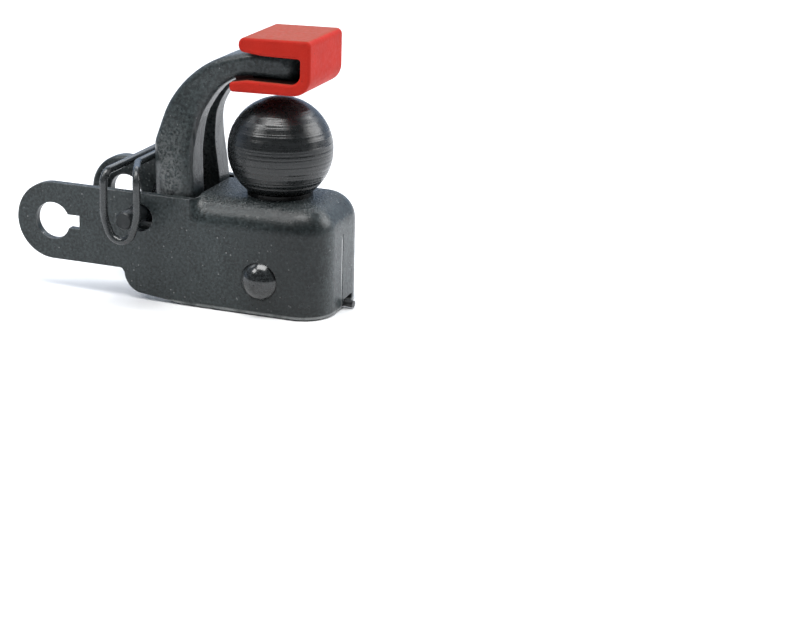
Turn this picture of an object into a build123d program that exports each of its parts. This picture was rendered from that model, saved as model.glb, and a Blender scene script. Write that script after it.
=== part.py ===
from build123d import *
import math
import os

os.makedirs("parts", exist_ok=True)

# ---------------------------------------------------------------- dimensions
# X runs from the axle tongue towards the ball, Y away from the tongue side,
# Z up from the lower rim that the hitch stands on. All in millimetres.
T = 2.5                 # sheet thickness of the folded housing
HW = 18.0               # half width over the side walls
X_END = 46.7            # outer face of the end wall
Z_TOP = 35.0            # outer face of the top plate
Z_WALL = 34.5           # top edge of the flat side walls
R_CORNER = 10.5         # upright corner radius of the end wall
R_TOP = 8.6             # radius along the top edges
X_PLATE = 3.0           # left edge of the top plate
FAR_X = -20.8           # left edge of the far wall
SEAM_W, SEAM_H = 0.5, 24.5

TONGUE_X, TONGUE_Z, TONGUE_R = -45.7, 22.0, 12.5
AXLE_R = 6.0            # axle hole
KEY_X, KEY_Z0, KEY_Z1 = -36.2, 20.2, 24.6

PIV_X, PIV_Z = 25.6, 11.0   # rivet that the claw swings on
RIV_R = 3.5
RIV_HEAD_R, RIV_HEAD_H = 6.05, 3.4
CLAW_BORE_R = 3.56
SLEEVE_OR, SLEEVE_IR, SLEEVE_HL = 4.4, 3.58, 5.6

BALL_X, BALL_Z, BALL_R = 25.0, 49.2, 16.5
NECK_R = 10.3
SHANK_R, SHANK_END = 6.0, 22.6
NUT_AF, NUT_H = 18.0, 6.0
WASH_OR, WASH_T = 9.4, 1.6

PIN_X, PIN_Z, PIN_R = -15.4, 28.0, 2.8
PIN_TIP_Y, PIN_HEAD_Y0, PIN_HEAD_Y1, PIN_HEAD_R = -28.2, 18.3, 30.8, 4.3
PIN_HOLE_NEAR_R = 4.4
PIN_HOLE_NEAR_X, PIN_HOLE_NEAR_Z = -14.9, 26.7
PIN_HOLE_FAR_R = 2.88
WIRE_R = 1.22
BAIL_Y = 24.2           # swing axis of the bail in the pin's head
CROSS_R = 1.30

EYE_X, EYE_Z, EYE_RO, EYE_RI, EYE_HT = -28.1, 29.7, 11.8, 5.5, 2.7
CAP_HW = 13.3
R_CAP = 1.0             # rounding of the cap's side edges
SPR_WIRE_R, SPR_MEAN_R = 1.15, 5.65
LEG_Y = 4.7
DX = 4.2                # the finished pieces are moved by this along X, so that
                        # the origin is below the middle of the whole hitch


def xz(pts):
    """points given as (x, z) on the plane y = 0"""
    return [(p[0], 0, p[1]) for p in pts]


def face_xz(wire_edges):
    return make_face(wire_edges)


def slab(face, y0, y1):
    """extrude a face lying on y = 0 so that it fills y0..y1"""
    s = extrude(face, amount=(y1 - y0), dir=(0, 1, 0))
    return Pos(0, y0, 0) * s


def cyl_y(x, z, r, y0, y1):
    return Pos(x, (y0 + y1) / 2, z) * Rot(90, 0, 0) * Cylinder(r, y1 - y0)


def block(x0, x1, y0, y1, z0, z1):
    return Pos((x0 + x1) / 2, (y0 + y1) / 2, (z0 + z1) / 2) * Box(x1 - x0, y1 - y0, z1 - z0)


def arc3(a, b, c):
    return ThreePointArc((a[0], 0, a[1]), (b[0], 0, b[1]), (c[0], 0, c[1]))


def ln(a, b):
    return Line((a[0], 0, a[1]), (b[0], 0, b[1]))


def touch(px, pz, cx, cz, r, side):
    """where a line from (px, pz) touches a circle"""
    base = math.atan2(pz - cz, px - cx)
    a = base + side * math.acos(r / math.hypot(px - cx, pz - cz))
    return (cx + r * math.cos(a), cz + r * math.sin(a))


def one(shape):
    """the largest solid of a boolean result"""
    return max(shape.solids(), key=lambda s: s.volume)


# ------------------------------------------------------------------ housing
# right part: box-shaped cup, open below and to the left
outer = block(-30, X_END, -HW, HW, -1, Z_TOP)
ve = [e for e in outer.edges().filter_by(Axis.Z) if e.center().X > X_END - 1]
outer = fillet(ve, R_CORNER)
te = [e for e in outer.edges() if abs(e.center().Z - Z_TOP) < 0.01 and e.center().X > -29]
outer = fillet(te, R_TOP)
inner = block(-40, X_END - T, -HW + T, HW - T, -6, Z_TOP - T)
ve = [e for e in inner.edges().filter_by(Axis.Z) if e.center().X > X_END - T - 1]
inner = fillet(ve, R_CORNER - T)
te = [e for e in inner.edges() if abs(e.center().Z - (Z_TOP - T)) < 0.01 and e.center().X > -39]
inner = fillet(te, R_TOP - T)
cup = outer - inner
cup = cup & block(X_PLATE, 60, -30, 30, 0, 60)

# left parts: flat walls; the near one runs out into the axle tongue
Z_BEND = Z_TOP - R_TOP
low = [ln((5.5, 0), (0, 0)), ln((0, 0), (-15.8, 1.9)), arc3((-15.8, 1.9), (-19.5, 4.5), (-20.8, 8.1))]
near_face = make_face(
    low
    + [
        arc3((-20.8, 8.1), (-21.15, 9.1), (-22.1, TONGUE_Z - TONGUE_R)),
        ln((-22.1, TONGUE_Z - TONGUE_R), (TONGUE_X, TONGUE_Z - TONGUE_R)),
        arc3((TONGUE_X, TONGUE_Z - TONGUE_R), (TONGUE_X - TONGUE_R, TONGUE_Z), (TONGUE_X, TONGUE_Z + TONGUE_R)),
        ln((TONGUE_X, Z_WALL), (2.0, Z_WALL)),
        ln((2.0, Z_WALL), (2.0, Z_BEND)),
        ln((2.0, Z_BEND), (5.5, Z_BEND)),
        ln((5.5, Z_BEND), (5.5, 0)),
    ]
)
near_wall = slab(near_face, -HW, -HW + T)
far_face = make_face(
    low
    + [
        ln((FAR_X, 8.1), (FAR_X, Z_WALL - 5)),
        arc3((FAR_X, Z_WALL - 5), (FAR_X + 1.464, Z_WALL - 1.464), (FAR_X + 5, Z_WALL)),
        ln((FAR_X + 5, Z_WALL), (2.0, Z_WALL)),
        ln((2.0, Z_WALL), (2.0, Z_BEND)),
        ln((2.0, Z_BEND), (5.5, Z_BEND)),
        ln((5.5, Z_BEND), (5.5, 0)),
    ]
)
far_wall = slab(far_face, HW - T, HW)


# run-out of the top bend: a flat upright strip at x = 2 that rolls over into
# the bend of the top edge at x = 5.5
def strip_flat(x):
    return make_face(Polyline((x, -HW, Z_BEND), (x, -HW, Z_WALL), (x, -HW + T, Z_WALL), (x, -HW + T, Z_BEND), (x, -HW, Z_BEND)))


def strip_bent(x):
    cy = -HW + R_TOP

    def p(r, deg):
        a = math.radians(deg)
        return (x, cy - r * math.cos(a), Z_BEND + r * math.sin(a))

    ro, ri = R_TOP, R_TOP - T
    return make_face(
        [
            ThreePointArc(p(ro, 0), p(ro, 44), p(ro, 88)),
            Line(p(ro, 88), p(ri, 88)),
            ThreePointArc(p(ri, 88), p(ri, 44), p(ri, 0)),
            Line(p(ri, 0), p(ro, 0)),
        ]
    )


runout = loft([strip_flat(2.0), strip_bent(5.5)], ruled=True)
runout_far = mirror(runout, about=Plane.XZ)
housing = cup + near_wall + far_wall + runout + runout_far

# holes, key notch, seam, spring-leg notch
housing -= cyl_y(TONGUE_X, TONGUE_Z, AXLE_R, -HW - 1, -HW + T + 1)
housing -= block(TONGUE_X, KEY_X, -HW - 1, -HW + T + 1, KEY_Z0, KEY_Z1)
housing -= cyl_y(PIN_HOLE_NEAR_X, PIN_HOLE_NEAR_Z, PIN_HOLE_NEAR_R, -HW - 1, -HW + T + 1)
housing -= cyl_y(PIN_X, PIN_Z, PIN_HOLE_FAR_R, HW - T - 1, HW + 1)
housing -= cyl_y(PIV_X, PIV_Z, RIV_R, -HW - 1, HW + 1)
housing -= Pos(BALL_X, 0, Z_TOP) * Cylinder(SHANK_R + 0.1, 12)
housing -= block(X_END - T - 1, X_END + 1, -0.9 - SEAM_W / 2, -0.9 + SEAM_W / 2, -1, SEAM_H)
# the far half of the end wall is cut back below, for the spring's leg
flap = make_face(Polyline((X_END - 12, -0.7, -1), (X_END - 12, -0.7, 0.6), (X_END - 12, 1.0, 2.75), (X_END - 12, HW - R_CORNER, 3.0), (X_END - 12, HW - R_CORNER, -1), (X_END - 12, -0.7, -1)))
housing -= extrude(flap, amount=14, dir=(1, 0, 0))
housing = one(housing)


def outer_rim(e):
    ps = [e @ t for t in (0.0, 0.5, 1.0)]
    near = all(abs(q.Y + HW) < 0.01 and q.Z < 9 for q in ps)
    bend = all(q.Z < 0.01 and abs(math.hypot(q.X - X_END + R_CORNER, q.Y + HW - R_CORNER) - R_CORNER) < 0.01 and q.Y < R_CORNER - HW + 0.01 for q in ps)
    end = all(q.Z < 0.01 and abs(q.X - X_END) < 0.01 for q in ps)
    return near or bend or end


# the lower rim's outer edge is rounded
housing = one(fillet([e for e in housing.edges() if outer_rim(e)], 0.6))

# --------------------------------------------------------------------- claw
# side profile: nose, curved arm, foot and the pivot lobe inside the housing
outer_pts = [(-11.0, 31.0), (-11.6, 35.0), (-12.4, 41.0), (-12.8, 47.0), (-12.5, 50.5), (-11.7, 54.0), (-10.0, 60.0), (-5.7, 67.3), (1.1, 73.7), (7.9, 77.5), (14.2, 79.4), (20.5, 80.4)]
inner_pts = [(18.2, 72.6), (13.2, 71.6), (7.7, 67.9), (4.6, 63.9), (1.9, 58.6), (0.85, 52.5), (0.6, 48.5), (0.9, 42.5), (1.4, 36.5), (1.6, 33.0)]
LOBE_R = 8.0
ELBOW = (2.15, 22.0)
HEEL = (4.5, 5.6)
R_FORGE = 2.3           # rounding of the forging's long edges
R_FOOT = 7.5            # rounding of the foot's back corners, in plan
lobe_top = touch(ELBOW[0], ELBOW[1], PIV_X, PIV_Z, LOBE_R, -1)
lobe_bot = touch(HEEL[0], HEEL[1], PIV_X, PIV_Z, LOBE_R, 1)
claw_face = make_face(
    [
        Spline(*xz(outer_pts), tangents=[(-0.15, 0, 1), (1, 0, 0)]),
        ln(outer_pts[-1], (36.0, 80.4)),
        ln((36.0, 80.4), (36.0, 72.6)),
        ln((36.0, 72.6), inner_pts[0]),
        Spline(*xz(inner_pts), tangents=[(-1, 0, 0), (0.05, 0, -1)]),
    ]
    + FilletPolyline(*xz([inner_pts[-1], ELBOW, lobe_top]), radius=6.0).edges()
    + [arc3(lobe_top, (PIV_X + LOBE_R, PIV_Z), lobe_bot)]
    + FilletPolyline(*xz([lobe_bot, HEEL, (-9.3, 19.667), (-11.0, 31.0)]), radius=[9.0, 12.0]).edges()
)
half = slab(claw_face, -15.0, 0.0)

# front view: broad at the foot, slim at the top
hw_pts = [(15.0, 36.0), (14.8, 40.0), (13.7, 47.5), (12.0, 53.5), (10.7, 58.5), (9.7, 64.5), (9.3, 72.0)]
left = [(0, -p[0], p[1]) for p in hw_pts]
front = make_face(
    [
        Line((0, -15.0, -5), left[0]),
        Spline(*left, tangents=[(0, 0, 1), (0, 0, 1)]),
        Line(left[-1], (0, -9.3, 95)),
        Line((0, -9.3, 95), (0, 5, 95)),
        Line((0, 5, 95), (0, 5, -5)),
        Line((0, 5, -5), (0, -15.0, -5)),
    ]
)
half = one(half & (Pos(-60, 0, 0) * extrude(front, amount=140, dir=(1, 0, 0))))


def level(e, z):
    return abs((e @ 0).Z - z) < 0.05 and abs((e @ 1).Z - z) < 0.05


def long_edge(e):
    on_side = (e @ 0).Y < -8 and (e @ 1).Y < -8
    return on_side and not level(e, 36.0) and not level(e, 72.0) and abs(e.center().X - 36.0) > 0.01


half = one(fillet([e for e in half.edges() if long_edge(e)], R_FORGE))

# nose: a blunt bullet inside the cap
bullet = make_face(
    [
        Line((14, 0, 0), (14, 0, 11.0)),
        Spline((14, 0, 11.0), (18, 0, 10.0), (23.0, 0, 9.75), (28.0, 0, 9.45), (31.0, 0, 9.0), (33.4, 0, 6.6), (34.7, 0, 0), tangents=[(1, 0, -0.5), (0, 0, -1)]),
        Line((34.7, 0, 0), (14, 0, 0)),
    ]
)
bullet = Pos(0, 0, 76.5) * revolve(bullet, Axis.X)
half = (half & block(-80, 14, -30, 30, -10, 120)) + (half & block(14, 80, -30, 30, -10, 66)) + (half & block(14, 80, -30, 30, 66, 120) & bullet)

# the foot's back corners are round in plan and fade out up the arm
foot = block(-13.6, 60, -15.0, 15.0, -10, 120)
foot = fillet([e for e in foot.edges().filter_by(Axis.Z) if e.center().X < 0], R_FOOT)
half = one(half & foot)

# slot between the two arms: through above, closed by a back web below
slot_pts = [(5.9, 34.0), (5.4, 40.5), (4.6, 47.5), (3.6, 56.5), (3.0, 63.0), (2.6, 67.0)]
sl = [(0, -p[0], p[1]) for p in slot_pts]
slot_face = make_face(
    [
        Line((0, -5.9, -5), sl[0]),
        Spline(*sl, tangents=[(0, 0, 1), (0, 0.1, 1)]),
        ThreePointArc(sl[-1], (0, -1.84, 68.84), (0, 0, 69.6)),
        Line((0, 0, 69.6), (0, 5, 69.6)),
        Line((0, 5, 69.6), (0, 5, -5)),
        Line((0, 5, -5), (0, -5.9, -5)),
    ]
)
slot_all = Pos(-60, 0, 0) * extrude(slot_face, amount=140, dir=(1, 0, 0))
web_keep = block(-60, -5.6, -9, 9, 21.0, 49.5)
web_keep = fillet([e for e in web_keep.edges().filter_by(Axis.Y) if e.center().X > -10 and e.center().Z > 40], 4.0)
half = one(half - (slot_all - web_keep))

# heel step under the lock pin, on both arms
step_pts = [(-8.0, 24.7), (-17.2, 24.7), (-17.2, 19.6), (-8.0, 18.3)]
step = slab(make_face(FilletPolyline(*xz(step_pts), radius=[1.2, 2.4]).edges() + [ln(step_pts[-1], step_pts[0])]), -14.6, -6.3)
half = one(half + step)
claw = half + mirror(half, about=Plane.XZ)

# eye on the back: a flat ring on a web, notched below for the lock pin
ring = Pos(EYE_RI, 0, 0) * Rot(90, 0, 0) * (Pos((EYE_RO - EYE_RI) / 2, 0, 0) * RectangleRounded(EYE_RO - EYE_RI, 2 * EYE_HT, 1.4))
ring = Rot(90, 0, 0) * revolve(ring, Axis.Z)
eye = Pos(EYE_X, 0, EYE_Z) * ring
tie = slab(make_face(Polyline(*xz([(-24.6, 36.2), (-24.0, 40.7), (-20.5, 41.4), (-16.0, 42.2), (-9.0, 42.8), (-9.0, 33.9), (-18.4, 33.9), (-20.9, 33.0), (-24.6, 36.2)]))), -EYE_HT + 0.3, EYE_HT - 0.3)
tie -= cyl_y(EYE_X, EYE_Z, EYE_RI + 0.6, -9, 9)
notch = slab(make_face(Polyline(*xz([(-18.9, 26.0), (-18.5, 30.2), (-17.4, 33.0), (-14.6, 33.9), (-8.0, 33.9), (-8.0, 12.0), (-18.9, 12.0), (-18.9, 26.0)]))), -9, 9)
eye = one((eye + tie) - notch)
claw = claw + eye

claw -= cyl_y(PIV_X, PIV_Z, CLAW_BORE_R, -20, 20)
claw -= Pos(24.5, 0, 72.6) * Cylinder(2.1, 7)
claw = one(claw)

# ---------------------------------------------------------------- claw cap
cap_pts = [(20.6, 68.692), (39.9, 69.2), (39.9, 86.2), (16.3, 85.5), (16.3, 81.2), (24.0, 80.4), (36.4, 80.4), (36.4, 72.6), (19.2, 72.6), (13.3, 71.5), (13.3, 68.5), (20.5, 68.689)]
cap_rad = [6.0, 1.8, 2.2, 2.0, 12.0, 0.9, 3.0, 6.0, 1.2, 1.2]
cap_out = make_face(FilletPolyline(*xz(cap_pts), radius=cap_rad).edges() + [ln(cap_pts[-1], cap_pts[0])])
cap = slab(cap_out, -CAP_HW, CAP_HW)
cap = fillet([e for e in cap.edges() if abs(abs(e.center().Y) - CAP_HW) < 0.01], R_CAP)
cap += Pos(24.5, 0, 73.4) * Cylinder(2.0, 2.6)
# the lip's root fills the corner under the claw
root = slab(make_face(Polyline(*xz([(13.6, 70.2), (19.5, 71.8), (19.5, 73.4), (13.6, 72.6), (13.6, 70.2)]))), -8.6, 8.6)
cap += root - claw
cap = one(cap)

# -------------------------------------------------------------------- ball
prof = make_face(
    [
        ln((0, BALL_R), (0, -(BALL_Z - SHANK_END))),
        ln((0, -(BALL_Z - SHANK_END)), (SHANK_R - 1.0, -(BALL_Z - SHANK_END))),
        ln((SHANK_R - 1.0, -(BALL_Z - SHANK_END)), (SHANK_R, -(BALL_Z - SHANK_END - 1.0))),
        ln((SHANK_R, -(BALL_Z - SHANK_END - 1.0)), (SHANK_R, -(BALL_Z - Z_TOP))),
        ln((SHANK_R, -(BALL_Z - Z_TOP)), (NECK_R, -(BALL_Z - Z_TOP))),
        ln((NECK_R, -(BALL_Z - Z_TOP)), (NECK_R, -math.sqrt(BALL_R**2 - NECK_R**2))),
        arc3((NECK_R, -math.sqrt(BALL_R**2 - NECK_R**2)), (BALL_R, 0), (0, BALL_R)),
    ]
)
ball = Pos(BALL_X, 0, BALL_Z) * revolve(prof, Axis.Z)
# turned groove low on the ball
gz = -10.2
gr = math.sqrt(BALL_R**2 - gz**2)
ball -= Pos(BALL_X, 0, BALL_Z + gz) * Torus(gr + 0.25, 0.55)
ball = one(ball)

z0 = Z_TOP - T
washer = Pos(BALL_X, 0, z0 - WASH_T / 2) * (Cylinder(WASH_OR, WASH_T) - Cylinder(SHANK_R + 0.35, WASH_T + 2))
nut_z = z0 - WASH_T - NUT_H / 2
nut = extrude(RegularPolygon(NUT_AF / 2, 6, major_radius=False, rotation=30), amount=NUT_H / 2, both=True)
nut_cone = Pos(0, 0, 0) * (Cylinder(NUT_AF / 2 / math.cos(math.pi / 6) - 0.1, NUT_H))
ncone_edges = nut_cone.edges().filter_by(GeomType.CIRCLE)
nut_cone = chamfer(ncone_edges, 0.8, 1.3)
nut = (nut & nut_cone) - Cylinder(SHANK_R, NUT_H + 2)
nut = Pos(BALL_X, 0, nut_z) * nut
nut = one(nut)
washer = one(washer)

# ------------------------------------------------------------ pivot pieces
rs = (RIV_HEAD_R**2 + RIV_HEAD_H**2) / (2 * RIV_HEAD_H)
hp = make_face(
    [
        Line((0, 0, 0), (RIV_HEAD_R, 0, 0)),
        ThreePointArc((RIV_HEAD_R, 0, 0), (rs * math.sin(0.5 * math.asin(RIV_HEAD_R / rs)), 0, rs * math.cos(0.5 * math.asin(RIV_HEAD_R / rs)) - (rs - RIV_HEAD_H)), (0, 0, RIV_HEAD_H)),
        Line((0, 0, RIV_HEAD_H), (0, 0, 0)),
    ]
)
dome = revolve(hp, Axis.Z)
rivet = cyl_y(PIV_X, PIV_Z, RIV_R, -HW, HW)
rivet += Pos(PIV_X, -HW, PIV_Z) * Rot(90, 0, 0) * dome
rivet += Pos(PIV_X, HW, PIV_Z) * Rot(-90, 0, 0) * dome
rivet = one(rivet)

sleeve = cyl_y(PIV_X, PIV_Z, SLEEVE_OR, -SLEEVE_HL, SLEEVE_HL) - cyl_y(PIV_X, PIV_Z, SLEEVE_IR, -9, 9)
sleeve = one(sleeve)

# torsion spring: coil on the sleeve, one leg out under the end wall, the other
# up under the claw's web. Its turns stand as separate rings joined by the legs.
TURNS = 4
PITCH = 2.35


def tangent_point(px, pz, side):
    """where the line from (px, pz) touches the coil's middle circle"""
    dx, dz = px - PIV_X, pz - PIV_Z
    dist = math.hypot(dx, dz)
    base = math.atan2(dz, dx)
    off = math.acos(SPR_MEAN_R / dist)
    a = base + side * off
    return (PIV_X + SPR_MEAN_R * math.cos(a), PIV_Z + SPR_MEAN_R * math.sin(a)), a


LEG1_BEND = (42.0, 1.9, 1.4)     # the first leg's bend and end
LEG1_END = (49.77, 1.5, 1.25)
LEG2_END = (-6.7, 19.7)
(t1, a1) = tangent_point(LEG1_BEND[0], LEG1_BEND[2], -1)
(t2, a2) = tangent_point(LEG2_END[0], LEG2_END[1], 1)
turn_span = (a1 - a2) % (2 * math.pi)
height = LEG_Y * 2
n_turn = (TURNS - 1) + turn_span / (2 * math.pi) + 1 * (turn_span < math.pi)
helix = Helix(pitch=height / n_turn, height=height, radius=SPR_MEAN_R, lefthand=True)
hel = Pos(PIV_X, LEG_Y, PIV_Z) * Rot(90, 0, 0) * helix
p_start = hel @ 0
a_start = math.atan2(p_start.Z - PIV_Z, p_start.X - PIV_X)
# turn the coil about its own axis so that it starts where the first leg ends
rot_deg = math.degrees(a1 - a_start)
hel = Pos(PIV_X, 0, PIV_Z) * Rot(0, -rot_deg, 0) * Pos(-PIV_X, 0, -PIV_Z) * hel
coil = sweep(Plane(origin=hel @ 0, z_dir=hel % 0) * Circle(SPR_WIRE_R), path=hel)


def rod(p, q, r):
    v = Vector(*q) - Vector(*p)
    return Plane(origin=p, z_dir=v) * Pos(0, 0, v.length / 2) * Cylinder(r, v.length)


ps, pe = hel @ 0, hel @ 1
leg1 = rod((ps.X, ps.Y, ps.Z), LEG1_BEND, SPR_WIRE_R) + Pos(*LEG1_BEND) * Sphere(SPR_WIRE_R * 1.01) + rod(LEG1_BEND, LEG1_END, SPR_WIRE_R)
leg2 = rod((pe.X, pe.Y, pe.Z), (LEG2_END[0], pe.Y, LEG2_END[1]), SPR_WIRE_R)
ball_s = Pos(ps.X, ps.Y, ps.Z) * Sphere(SPR_WIRE_R * 1.03)
ball_e = Pos(pe.X, pe.Y, pe.Z) * Sphere(SPR_WIRE_R * 1.03)
spring = one(coil + ball_s + ball_e + leg1 + leg2)

# ----------------------------------------------------------------- lock pin
pin = cyl_y(PIN_X, PIN_Z, PIN_R, PIN_TIP_Y, PIN_HEAD_Y0)
tip_edges = [e for e in pin.edges().filter_by(GeomType.CIRCLE) if e.center().Y < PIN_TIP_Y + 0.1]
pin = chamfer(tip_edges, 0.4)
head = cyl_y(PIN_X, PIN_Z, PIN_HEAD_R, PIN_HEAD_Y0, PIN_HEAD_Y1)
head = chamfer(head.edges().filter_by(GeomType.CIRCLE), 0.7)
pin = pin + head
pin -= Pos(PIN_X, BAIL_Y, PIN_Z) * Rot(0, 90, 0) * Cylinder(CROSS_R, 20)
pin = one(pin)

# wire bail: its ends turn in the pin's head, both strands run over the walls
# side by side and open into the loop that hangs over the pin's tip
ZS = 43.9               # height of the strands
XL, XR = -19.7, -16.1   # the strands
LX0, LX1 = -21.1, -9.9  # the legs of the loop
LOOP_Y = -29.58
HX0, HX1 = PIN_X - PIN_HEAD_R - 1.6, PIN_X + PIN_HEAD_R + 1.6
bail_pts = [
    (PIN_X - 1.4, BAIL_Y, PIN_Z),
    (HX0, BAIL_Y, PIN_Z),
    (HX0, BAIL_Y, 40.0),
    (XL, 18.5, ZS),
    (XL, -19.5, ZS),
    (LX0, LOOP_Y, ZS - 0.6),
    (LX0 - 0.2, LOOP_Y, 29.6),
    (-18.6, LOOP_Y, 22.1),
    (-12.7, LOOP_Y, 22.1),
    (LX1, LOOP_Y, 29.6),
    (LX1, LOOP_Y, ZS + 0.6),
    (XR, -16.5, ZS),
    (XR, 18.5, ZS),
    (HX1, BAIL_Y, 40.0),
    (HX1, BAIL_Y, PIN_Z),
    (PIN_X + 1.4, BAIL_Y, PIN_Z),
]
bail_rad = [1.5, 3.5, 3.0, 8.0, 3.6, 16.0, 4.2, 4.2, 16.0, 4.0, 6.0, 3.0, 3.5, 1.5]
bail_path = FilletPolyline(*bail_pts, radius=bail_rad)
bail = sweep(Plane(origin=bail_path @ 0, z_dir=bail_path % 0) * Circle(WIRE_R), path=bail_path)
bail = one(bail)

# ------------------------------------------------------------------- export
pieces = {
    "housing": housing,
    "ball_stud": ball,
    "ball_washer": washer,
    "ball_nut": nut,
    "claw": claw,
    "claw_cap": cap,
    "pivot_rivet": rivet,
    "spring_sleeve": sleeve,
    "torsion_spring": spring,
    "lock_pin": pin,
    "pin_bail": bail,
}
for name, shape in pieces.items():
    shape = Pos(DX, 0, 0) * shape
    bb = shape.bounding_box()
    print(name, "valid", shape.is_valid, "vol %.0f" % shape.volume, "solids", len(shape.solids()),
          "x %.1f..%.1f y %.1f..%.1f z %.1f..%.1f" % (bb.min.X, bb.max.X, bb.min.Y, bb.max.Y, bb.min.Z, bb.max.Z))
    export_step(shape, "parts/%s.step" % name)
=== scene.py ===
import math

import bpy
from mathutils import Matrix, Vector


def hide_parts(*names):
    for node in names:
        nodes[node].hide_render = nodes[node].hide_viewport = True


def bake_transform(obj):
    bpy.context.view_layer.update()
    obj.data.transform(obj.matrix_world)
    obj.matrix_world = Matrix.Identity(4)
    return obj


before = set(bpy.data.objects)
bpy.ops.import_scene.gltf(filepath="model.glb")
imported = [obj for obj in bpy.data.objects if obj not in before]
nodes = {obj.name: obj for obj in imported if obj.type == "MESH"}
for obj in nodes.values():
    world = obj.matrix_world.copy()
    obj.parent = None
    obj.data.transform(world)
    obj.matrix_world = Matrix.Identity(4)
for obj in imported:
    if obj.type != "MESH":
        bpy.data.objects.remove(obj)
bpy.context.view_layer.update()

scene = bpy.context.scene
MM = 0.001


# ------------------------------------------------------------------ node kit
class Net:
    """A small helper that builds one material's node tree."""

    def __init__(self, name):
        self.mat = bpy.data.materials.new(name)
        self.mat.use_nodes = True
        self.nt = self.mat.node_tree
        self.nt.nodes.clear()
        self.out = self.add("ShaderNodeOutputMaterial")
        self.bsdf = self.add("ShaderNodeBsdfPrincipled")
        self.link(self.bsdf.outputs[0], self.out.inputs["Surface"])
        self.tc = self.add("ShaderNodeTexCoord")
        self.pos = self.tc.outputs["Object"]

    def add(self, kind, **kw):
        n = self.nt.nodes.new(kind)
        for k, v in kw.items():
            setattr(n, k, v)
        return n

    def link(self, a, b):
        self.nt.links.new(a, b)

    def put(self, node, socket, value):
        if hasattr(value, "is_output") or isinstance(value, bpy.types.NodeSocket):
            self.link(value, node.inputs[socket])
        else:
            node.inputs[socket].default_value = value

    def mapped(self, scale):
        n = self.add("ShaderNodeMapping")
        self.link(self.pos, n.inputs["Vector"])
        n.inputs["Scale"].default_value = scale
        return n.outputs[0]

    def noise(self, size_mm, detail=2.0, rough=0.5, vec=None, distortion=0.0):
        n = self.add("ShaderNodeTexNoise")
        self.link(vec or self.pos, n.inputs["Vector"])
        n.inputs["Scale"].default_value = 1000.0 / size_mm
        n.inputs["Detail"].default_value = detail
        n.inputs["Roughness"].default_value = rough
        n.inputs["Distortion"].default_value = distortion
        return n.outputs["Fac"]

    def voronoi(self, size_mm, feature="F1", vec=None):
        n = self.add("ShaderNodeTexVoronoi", feature=feature)
        self.link(vec or self.pos, n.inputs["Vector"])
        n.inputs["Scale"].default_value = 1000.0 / size_mm
        return n.outputs["Distance"]

    def ramp(self, fac, stops, mode="LINEAR"):
        n = self.add("ShaderNodeValToRGB")
        n.color_ramp.interpolation = mode
        els = n.color_ramp.elements
        while len(els) < len(stops):
            els.new(0.5)
        for e, (p, c) in zip(els, stops):
            e.position = p
            e.color = c if len(c) == 4 else (*c, 1.0)
        self.link(fac, n.inputs[0])
        return n.outputs[0]

    def rng(self, fac, a0, a1, b0, b1):
        n = self.add("ShaderNodeMapRange")
        self.link(fac, n.inputs[0])
        for i, v in enumerate((a0, a1, b0, b1)):
            n.inputs[1 + i].default_value = v
        return n.outputs[0]

    def math(self, op, a, b=0.0):
        n = self.add("ShaderNodeMath", operation=op)
        self.put(n, 0, a)
        self.put(n, 1, b)
        return n.outputs[0]

    def mix(self, fac, a, b, mode="MIX"):
        n = self.add("ShaderNodeMix", data_type="RGBA", blend_type=mode)
        self.put(n, 0, fac)
        self.put(n, 6, a if not isinstance(a, tuple) or len(a) == 4 else (*a, 1.0))
        self.put(n, 7, b if not isinstance(b, tuple) or len(b) == 4 else (*b, 1.0))
        return n.outputs[2]

    def bump(self, height, strength, dist_mm, normal=None):
        n = self.add("ShaderNodeBump")
        n.inputs["Strength"].default_value = strength
        n.inputs["Distance"].default_value = dist_mm * MM
        self.link(height, n.inputs["Height"])
        if normal is not None:
            self.link(normal, n.inputs["Normal"])
        return n.outputs[0]

    def edges(self, radius_mm):
        """1 along sharp edges, 0 on open faces"""
        b = self.add("ShaderNodeBevel", samples=6)
        b.inputs["Radius"].default_value = radius_mm * MM
        g = self.add("ShaderNodeNewGeometry")
        d = self.add("ShaderNodeVectorMath", operation="DOT_PRODUCT")
        self.link(b.outputs[0], d.inputs[0])
        self.link(g.outputs["Normal"], d.inputs[1])
        return self.rng(d.outputs["Value"], 0.995, 0.86, 0.0, 1.0)

    def xyz(self, vec):
        n = self.add("ShaderNodeSeparateXYZ")
        self.link(vec, n.inputs[0])
        return n.outputs

    def rounded(self, radius_mm):
        """the normal of a slightly rounded edge"""
        b = self.add("ShaderNodeBevel", samples=6)
        b.inputs["Radius"].default_value = radius_mm * MM
        return b.outputs[0]


def grey(v):
    return (v, v, v, 1.0)


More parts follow.
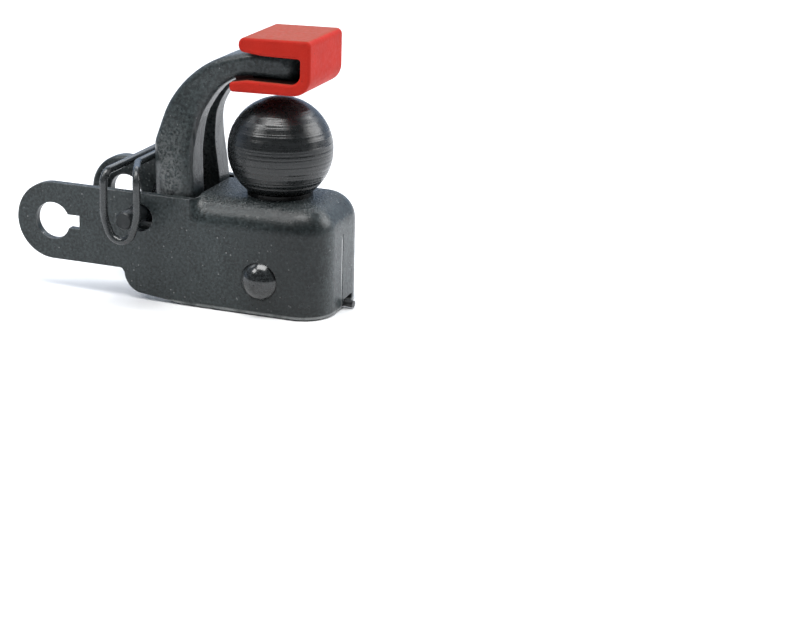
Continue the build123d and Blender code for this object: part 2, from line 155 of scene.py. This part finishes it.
# ------------------------------------------------------------------ materials
def paint(name, base, rough, peel, speck=1.0, wear=1.0, coat=0.0, claw_light_and_dust=False, coarse_top_and_painted_light=False, rim=None):
    """black powder coat: orange peel, pale specks, worn edges"""
    m = Net(name)
    at = m.xyz(m.pos)
    facing = m.xyz(m.tc.outputs["Normal"])
    broad = m.noise(9.0, 3.0)
    fine = m.noise(0.9, 3.0, 0.6)
    grit = m.noise(0.4, 1.0)
    col = m.ramp(broad, [(0.3, tuple(c * 0.6 for c in base)), (0.7, tuple(c * 1.3 for c in base))])
    col = m.mix(m.rng(fine, 0.40, 0.70, 0.0, 0.8), col, tuple(c * 3.3 for c in base))
    # pale specks of dust and pores in the coat
    dots = m.voronoi(0.95)
    dot_on = m.math("MULTIPLY", m.rng(dots, 0.17, 0.07, 0.0, 1.0), m.rng(m.noise(2.6, 1.0), 0.50, 0.62, 0.0, 1.0))
    col = m.mix(m.math("MULTIPLY", dot_on, 0.55 * speck), col, (0.24, 0.25, 0.25, 1.0))
    flecks = m.math("MULTIPLY", m.rng(m.voronoi(0.55), 0.16, 0.06, 0.0, 1.0), m.rng(m.noise(4.5, 2.0), 0.46, 0.62, 0.0, 0.5))
    col = m.mix(m.math("MULTIPLY", flecks, speck), col, (0.15, 0.16, 0.16, 1.0))
    big = m.math("MULTIPLY", m.rng(m.voronoi(2.2), 0.135, 0.085, 0.0, 1.0), m.rng(m.noise(5.0, 2.0), 0.46, 0.55, 0.0, 0.85))
    col = m.mix(m.math("MULTIPLY", big, speck), col, (0.21, 0.215, 0.215, 1.0))
    edge = m.math("MULTIPLY", m.edges(0.5), m.rng(m.noise(2.2, 4.0, 0.65), 0.36, 0.62, 0.0, 1.0))
    col = m.mix(m.math("MULTIPLY", edge, 0.75 * wear), col, (0.22, 0.225, 0.23, 1.0))
    if claw_light_and_dust:
        # painted light: the faces towards the ball are coloured pale in upright streaks, for the light they catch
        painted_lit_faces = m.math("MULTIPLY", m.rng(facing[0], 0.55, 0.9, 0.0, 1.0), m.rng(at[2], 0.036, 0.046, 0.0, 1.0))
        painted_lit_faces = m.math("MULTIPLY", painted_lit_faces, m.rng(at[0], 0.019, 0.013, 0.0, 1.0))
        streak = m.rng(m.noise(1.0, 3.0, 0.6, m.mapped((0.5, 0.9, 0.1))), 0.38, 0.62, 0.15, 1.0)
        col = m.mix(m.math("MULTIPLY", painted_lit_faces, streak), col, (0.115, 0.12, 0.122, 1.0))
        # grey dust sits in the grain at the foot of the near arm, together with a painted sheen there
        dust_and_sheen = m.math("MULTIPLY", m.rng(at[2], 0.062, 0.040, 0.0, 1.0), m.rng(facing[1], -0.75, -0.97, 0.0, 1.0))
        dust_and_sheen = m.math("MULTIPLY", dust_and_sheen, m.rng(m.noise(0.8, 3.0, 0.65), 0.40, 0.62, 0.0, 1.0))
        dust_and_sheen = m.math("MULTIPLY", dust_and_sheen, m.math("MULTIPLY", m.rng(at[0], 0.0035, -0.0005, 0.1, 1.0), m.rng(at[0], -0.0100, -0.0080, 0.0, 1.0)))
        col = m.mix(m.math("MULTIPLY", dust_and_sheen, 0.9), col, (0.16, 0.168, 0.168, 1.0))
    if coarse_top_and_painted_light:
        # painted shade: the side walls are coloured blacker towards the ball's end
        painted_dark_end = m.math("MULTIPLY", m.rng(at[0], 0.016, 0.036, 0.0, 1.0), m.rng(m.math("ABSOLUTE", facing[1]), 0.25, 0.7, 0.0, 0.6))
        col = m.mix(painted_dark_end, col, tuple(c * 0.2 for c in base))
        # painted highlights: pale glints lie on the up-facing faces of the top plate's coarse coat
        top_glints = m.math("MULTIPLY", m.rng(m.voronoi(1.5), 0.26, 0.12, 0.0, 1.0), m.rng(m.noise(3.0, 2.0), 0.48, 0.58, 0.0, 0.8))
        top_glints = m.math("MULTIPLY", top_glints, m.rng(facing[2], 0.86, 0.98, 0.0, 1.0))
        col = m.mix(top_glints, col, (0.30, 0.31, 0.31, 1.0))
        # painted highlight: a pale line beside the end wall's seam, for light on its bent edge
        lip = m.math("MULTIPLY", m.rng(at[1], -0.0021, -0.0016, 0.0, 1.0), m.rng(at[1], -0.00112, -0.00118, 0.0, 1.0))
        lip = m.math("MULTIPLY", lip, m.math("MULTIPLY", m.rng(facing[0], 0.8, 0.95, 0.0, 0.9), m.rng(at[2], 0.0242, 0.0225, 0.0, 1.0)))
        lip = m.math("MULTIPLY", lip, m.rng(at[2], 0.004, 0.012, 0.3, 1.0))
        col = m.mix(lip, col, (0.34, 0.35, 0.35, 1.0))
        # painted highlight: a pale, broken line along the sheet's lower rim, for light on its rounded edge
        rim_highlight = m.math("MULTIPLY", m.rng(at[2], 0.0013, 0.0009, 0.0, 1.0), m.rng(at[2], 0.0001, 0.0004, 0.0, 1.0))
        rim_highlight = m.math("MULTIPLY", rim_highlight, m.rng(m.noise(5.0, 3.0, 0.6), 0.36, 0.58, 0.15, 0.85))
        col = m.mix(rim_highlight, col, (0.22, 0.23, 0.23, 1.0))
    if rim:
        # painted shade: a dark ring round the head's edge, for the shadow where it meets the wall
        dx, dz = m.math("SUBTRACT", at[0], rim[0] * MM), m.math("SUBTRACT", at[2], rim[1] * MM)
        dist = m.math("SQRT", m.math("ADD", m.math("MULTIPLY", dx, dx), m.math("MULTIPLY", dz, dz)))
        col = m.mix(m.rng(dist, (rim[2] - 0.5) * MM, (rim[2] - 0.15) * MM, 0.0, 1.0), col, (0.002, 0.002, 0.002, 1.0))
    m.link(col, m.bsdf.inputs["Base Color"])
    r = m.rng(m.noise(1.6, 3.0, 0.6), 0.25, 0.8, rough - 0.08, rough + 0.1)
    m.link(r, m.bsdf.inputs["Roughness"])
    m.bsdf.inputs["Specular IOR Level"].default_value = 0.32
    if coat:
        m.bsdf.inputs["Coat Weight"].default_value = coat
        m.bsdf.inputs["Coat Roughness"].default_value = 0.1
    n = m.bump(fine, peel, 0.09, m.rounded(0.45))
    n = m.bump(grit, peel * 0.6, 0.05, n)
    n = m.bump(broad, 0.35, 0.25, n)
    if coarse_top_and_painted_light:
        # the coat lies coarse on the top plate
        rough_top = m.math("MULTIPLY", m.noise(0.9, 2.0, 0.7), m.rng(facing[2], 0.75, 0.98, 0.0, 1.0))
        n = m.bump(rough_top, 1.0, 0.9, n)
    m.link(n, m.bsdf.inputs["Normal"])
    return m.mat


def turned(name, base, rough):
    """blackened steel with lathe rings round the upright axis"""
    m = Net(name)
    at = m.xyz(m.pos)
    rings = m.noise(1.0, 1.5, 0.6, m.mapped((0.006, 0.006, 0.85)))
    lines = m.noise(1.0, 1.0, 0.5, m.mapped((0.006, 0.006, 1.9)))
    patch = m.noise(7.0, 3.0)
    col = m.ramp(rings, [(0.32, tuple(c * 0.7 for c in base)), (0.55, base), (0.72, tuple(c * 1.9 for c in base))])
    col = m.mix(m.rng(patch, 0.45, 0.75, 0.0, 0.2), col, tuple(c * 1.8 for c in base))
    dots = m.math("MULTIPLY", m.rng(m.voronoi(0.95), 0.15, 0.07, 0.0, 1.0), m.rng(m.noise(2.5, 1.0), 0.54, 0.64, 0.0, 0.3))
    col = m.mix(dots, col, (0.2, 0.21, 0.21, 1.0))
    # painted shade: the neck under the ball is coloured near black and made less glossy
    neck_shade = m.rng(at[2], 0.0365, 0.0405, 1.0, 0.0)
    col = m.mix(neck_shade, col, (0.002, 0.002, 0.002, 1.0))
    m.link(col, m.bsdf.inputs["Base Color"])
    m.link(m.rng(m.noise(2.0, 3.0), 0.3, 0.75, rough - 0.06, rough + 0.08), m.bsdf.inputs["Roughness"])
    m.link(m.rng(neck_shade, 0.0, 1.0, 0.5, 0.15), m.bsdf.inputs["Specular IOR Level"])
    n = m.bump(rings, 0.9, 0.38)
    n = m.bump(lines, 0.7, 0.14, n)
    n = m.bump(m.noise(0.5, 2.0), 0.2, 0.04, n)
    m.link(n, m.bsdf.inputs["Normal"])
    return m.mat


def plated(name, base, rough):
    """zinc plate: bluish, blotched, faint grind marks"""
    m = Net(name)
    col = m.ramp(m.noise(3.0, 4.0, 0.6), [(0.3, tuple(c * 0.7 for c in base)), (0.7, tuple(min(1.0, c * 1.2) for c in base))])
    m.link(col, m.bsdf.inputs["Base Color"])
    m.bsdf.inputs["Metallic"].default_value = 0.9
    m.link(m.rng(m.noise(1.5, 4.0, 0.6), 0.3, 0.7, rough - 0.08, rough + 0.12), m.bsdf.inputs["Roughness"])
    m.link(m.bump(m.noise(0.6, 3.0), 0.3, 0.05), m.bsdf.inputs["Normal"])
    return m.mat


def wire(name, base, rough, gloss=0.7):
    """dark oiled wire: drawn streaks, worn bright patches"""
    m = Net(name)
    streak = m.noise(0.5, 3.0, 0.65)
    patch = m.noise(4.0, 3.0, 0.6)
    col = m.ramp(streak, [(0.3, tuple(c * 0.6 for c in base)), (0.72, tuple(c * 1.6 for c in base))])
    col = m.mix(m.rng(patch, 0.52, 0.75, 0.0, 0.25), col, (0.12, 0.125, 0.13, 1.0))
    m.link(col, m.bsdf.inputs["Base Color"])
    m.bsdf.inputs["Metallic"].default_value = 0.15
    m.bsdf.inputs["Specular IOR Level"].default_value = gloss
    m.link(m.rng(patch, 0.3, 0.7, rough - 0.06, rough + 0.12), m.bsdf.inputs["Roughness"])
    m.link(m.bump(streak, 0.25, 0.05), m.bsdf.inputs["Normal"])
    return m.mat


def plastic(name, base, rough):
    """moulded red plastic: spark-eroded grain, scuffed edges"""
    m = Net(name)
    grain = m.noise(0.42, 2.0, 0.6)
    broad = m.noise(6.0, 3.0)
    col = m.ramp(broad, [(0.3, tuple(c * 0.93 for c in base)), (0.7, tuple(min(1.0, c * 1.07) for c in base))])
    col = m.mix(m.rng(grain, 0.45, 0.8, 0.0, 0.10), col, (0.60, 0.09, 0.07, 1.0))
    edge = m.math("MULTIPLY", m.edges(0.5), 0.22)
    col = m.mix(edge, col, (0.62, 0.11, 0.08, 1.0))
    # a few dark specks of dirt
    dirt = m.math("MULTIPLY", m.rng(m.voronoi(2.6), 0.12, 0.07, 0.0, 1.0), m.rng(m.noise(6.0, 2.0), 0.50, 0.58, 0.0, 0.6))
    col = m.mix(dirt, col, (0.09, 0.006, 0.005, 1.0))
    # painted sheen: the upper faces get a duller, less saturated red for the light from above
    up = m.xyz(m.tc.outputs["Normal"])[2]
    top_sheen = m.math("MULTIPLY", m.rng(up, 0.80, 0.97, 0.0, 1.0), m.rng(m.noise(0.7, 3.0, 0.6), 0.30, 0.60, 0.55, 1.0))
    col = m.mix(top_sheen, col, (0.26, 0.052, 0.027, 1.0))
    # painted shade: the faces inside the cap that hold the claw are coloured near black
    at = m.xyz(m.pos)
    lip = m.math("ADD", m.math("MULTIPLY", m.math("MINIMUM", at[0], 0.0234), 0.19), 0.0679)
    cap_inner_shade = m.math("MULTIPLY", m.rng(m.math("SUBTRACT", at[2], lip), -0.0002, 0.0001, 0.0, 1.0), m.rng(at[2], 0.0815, 0.0808, 0.0, 1.0))
    cap_inner_shade = m.math("MULTIPLY", cap_inner_shade, m.rng(m.math("ABSOLUTE", at[1]), 0.0126, 0.0121, 0.0, 1.0))
    cap_inner_shade = m.math("MULTIPLY", cap_inner_shade, m.math("MULTIPLY", m.rng(at[0], 0.0410, 0.0408, 0.0, 0.97), m.rng(at[0], 0.0173, 0.0177, 0.0, 1.0)))
    col = m.mix(cap_inner_shade, col, (0.006, 0.003, 0.003, 1.0))
    # painted shade: the lip's downward faces, over the ball, are coloured near black
    underside_shade = m.rng(m.xyz(m.tc.outputs["Normal"])[2], -0.85, -0.98, 0.0, 0.75)
    underside_shade = m.math("MULTIPLY", underside_shade, m.math("MULTIPLY", m.rng(m.math("ABSOLUTE", at[1]), 0.0118, 0.0105, 0.0, 1.0), m.rng(at[2], 0.0705, 0.0700, 0.0, 1.0)))
    col = m.mix(underside_shade, col, (0.02, 0.006, 0.006, 1.0))
    m.link(col, m.bsdf.inputs["Base Color"])
    m.link(m.rng(m.noise(1.2, 3.0), 0.3, 0.75, rough - 0.06, rough + 0.1), m.bsdf.inputs["Roughness"])
    m.bsdf.inputs["Specular IOR Level"].default_value = 0.10
    m.bsdf.inputs["Subsurface Weight"].default_value = 0.04
    m.bsdf.inputs["Subsurface Radius"].default_value = (0.002, 0.0006, 0.0004)
    m.bsdf.inputs["Subsurface Scale"].default_value = 0.6
    n = m.bump(grain, 0.35, 0.06)
    n = m.bump(broad, 0.2, 0.2, n)
    m.link(n, m.bsdf.inputs["Normal"])
    return m.mat


BLACK = (0.0168, 0.0212, 0.0218)
mats = {
    "housing": paint("coat_housing", BLACK, 0.32, 0.6, coarse_top_and_painted_light=True),
    "claw": paint("coat_claw", (0.0176, 0.0216, 0.0222), 0.32, 1.0, 1.0, claw_light_and_dust=True),
    "pivot_rivet": paint("coat_rivet", (0.012, 0.0135, 0.014), 0.2, 0.15, 0.25, 0.3, 0.6, rim=(29.8, 11.0, 6.05)),
    "ball_stud": turned("turned_ball", (0.0095, 0.0108, 0.0112), 0.28),
    "ball_washer": plated("zinc_washer", (0.55, 0.56, 0.57), 0.35),
    "ball_nut": plated("zinc_nut", (0.50, 0.51, 0.53), 0.38),
    "spring_sleeve": plated("zinc_sleeve", (0.45, 0.46, 0.48), 0.4),
    "torsion_spring": wire("spring_wire", (0.016, 0.017, 0.018), 0.30),
    "lock_pin": wire("pin_steel", (0.013, 0.0155, 0.0165), 0.36, 0.4),
    "pin_bail": wire("bail_wire", (0.017, 0.020, 0.021), 0.22),
    "claw_cap": plastic("red_cap", (0.405, 0.0165, 0.0085), 0.55),
}
for name, mat in mats.items():
    ob = nodes[name]
    ob.data.materials.clear()
    ob.data.materials.append(mat)
    for p in ob.data.polygons:
        p.material_index = 0

# -------------------------------------------------------------------- spring
# the same wire as the rigid one, as a swept tube mesh
PX, PZ, MEAN_R, WIRE_R, HALF = 29.8, 11.0, 5.65, 1.15, 4.7
END1, BEND1, END2 = (53.95, 1.5, 1.25), (46.2, 1.9, 1.4), (-2.5, -4.7, 19.7)


def meets(x, z, side):
    return math.atan2(z - PZ, x - PX) + side * math.acos(MEAN_R / math.hypot(x - PX, z - PZ))


a1, a2 = meets(BEND1[0], BEND1[2], -1), meets(END2[0], END2[2], 1)
turns = 4.0 + ((a1 - a2) % (2 * math.pi)) / (2 * math.pi)
line = [END1, Vector(END1).lerp(Vector(BEND1), 0.85)]
for i in range(241):
    t = i / 240
    a = a1 - t * turns * 2 * math.pi
    line.append((PX + MEAN_R * math.cos(a), HALF - 2 * HALF * t, PZ + MEAN_R * math.sin(a)))
first, last = Vector(line[2]), Vector(line[-1])
line[2:2] = [Vector(BEND1).lerp(first, 0.02), Vector(BEND1).lerp(first, 0.1), Vector(BEND1).lerp(first, 0.5)]
line += [last.lerp(Vector(END2), i / 24) for i in range(1, 25)]
cu = bpy.data.curves.new("spring_line", "CURVE")
cu.dimensions = "3D"
cu.bevel_depth = WIRE_R * MM
cu.bevel_resolution = 5
cu.use_fill_caps = True
sp = cu.splines.new("POLY")
sp.points.add(len(line) - 1)
for q, c in zip(sp.points, line):
    q.co = (c[0] * MM, c[1] * MM, c[2] * MM, 1.0)
tmp = bpy.data.objects.new("spring_line", cu)
scene.collection.objects.link(tmp)
mesh = bpy.data.meshes.new_from_object(tmp.evaluated_get(bpy.context.evaluated_depsgraph_get()))
bpy.data.objects.remove(tmp)
spring = bpy.data.objects.new("spring_wire", mesh)
scene.collection.objects.link(spring)
mesh.polygons.foreach_set("use_smooth", [len(f.vertices) == 4 for f in mesh.polygons])
mesh.materials.clear()
mesh.materials.append(mats["torsion_spring"])
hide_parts("torsion_spring")
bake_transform(spring)

# --------------------------------------------------------------------- floor
bpy.ops.mesh.primitive_plane_add(size=4.0, location=(0, 0, -0.0002))
floor = bpy.context.object
floor.name = "floor"
f = Net("pale_floor")
f.link(f.ramp(f.noise(40.0, 2.0), [(0.3, grey(0.87)), (0.7, grey(0.90))]), f.bsdf.inputs["Base Color"])
f.bsdf.inputs["Roughness"].default_value = 0.6
f.bsdf.inputs["Specular IOR Level"].default_value = 0.2
floor.data.materials.append(f.mat)

# ------------------------------------------------------------------- lights
world = bpy.data.worlds.new("studio")
scene.world = world
world.use_nodes = True
wt = world.node_tree
bg = wt.nodes["Background"]
# a white room behind and to the left, dim in front and to the right
wc = wt.nodes.new("ShaderNodeTexCoord")
wd = wt.nodes.new("ShaderNodeVectorMath")
wd.operation = "DOT_PRODUCT"
wd.inputs[1].default_value = (-0.45, 0.89, 0.0)
wr = wt.nodes.new("ShaderNodeValToRGB")
wm = wt.nodes.new("ShaderNodeMapRange")
wm.inputs[1].default_value = -1.0
wm.inputs[2].default_value = 1.0
wt.links.new(wc.outputs["Generated"], wd.inputs[0])
wt.links.new(wd.outputs["Value"], wm.inputs[0])
wt.links.new(wm.outputs[0], wr.inputs[0])
ends = wr.color_ramp.elements
ends[0].position, ends[0].color = 0.40, (0.05, 0.052, 0.055, 1.0)
ends[1].position, ends[1].color = 0.82, (0.50, 0.63, 0.84, 1.0)
wt.links.new(wr.outputs[0], bg.inputs[0])
bg.inputs[1].default_value = 1.0


def area(name, loc, aim, size, power, col=(1, 1, 1)):
    d = bpy.data.lights.new(name, "AREA")
    d.shape = "RECTANGLE"
    d.size, d.size_y = size
    d.energy = power
    d.color = col
    o = bpy.data.objects.new(name, d)
    scene.collection.objects.link(o)
    o.location = loc
    o.rotation_mode = "QUATERNION"
    o.rotation_quaternion = (Vector(aim) - Vector(loc)).to_track_quat("-Z", "Y")
    return o


area("softbox", (0.0, -0.25, 0.93), (0.0, 0.0, 0.03), (0.70, 0.42), 9.2)
area("key_front", (-0.50, -0.56, 0.76), (0.0, 0.0, 0.03), (0.3, 0.3), 3.2)
area("left", (-0.70, 0.05, 0.75), (-0.02, 0.0, 0.03), (0.4, 0.4), 1.2)
area("back_floor", (-0.05, 1.0, 0.95), (-0.05, 0.75, 0.0), (1.8, 0.9), 12.0)
area("rim_right", (0.66, 0.36, 0.40), (0.10, 0.04, 0.0), (0.55, 0.45), 4.7)

# ------------------------------------------------------------------- camera
cam_data = bpy.data.cameras.new("camera")
cam = bpy.data.objects.new("camera", cam_data)
scene.collection.objects.link(cam)
scene.camera = cam
cam_data.sensor_width = 36.0
cam_data.lens = 92.342
cam_data.clip_start = 0.01
cam_data.clip_end = 50.0
right = Vector((0.93898461, 0.3429296, 0.02659286)).normalized()
forward = Vector((-0.31694309, 0.89267806, -0.32042621)).normalized()
right = (right - forward * right.dot(forward)).normalized()
up = right.cross(forward)
rot = Matrix((right, up, -forward)).transposed()
cam.matrix_world = Matrix.Translation(Vector((272.968, -571.425, 204.027)) * MM) @ rot.to_4x4()

scene.view_settings.view_transform = "Standard"
scene.view_settings.look = "None"
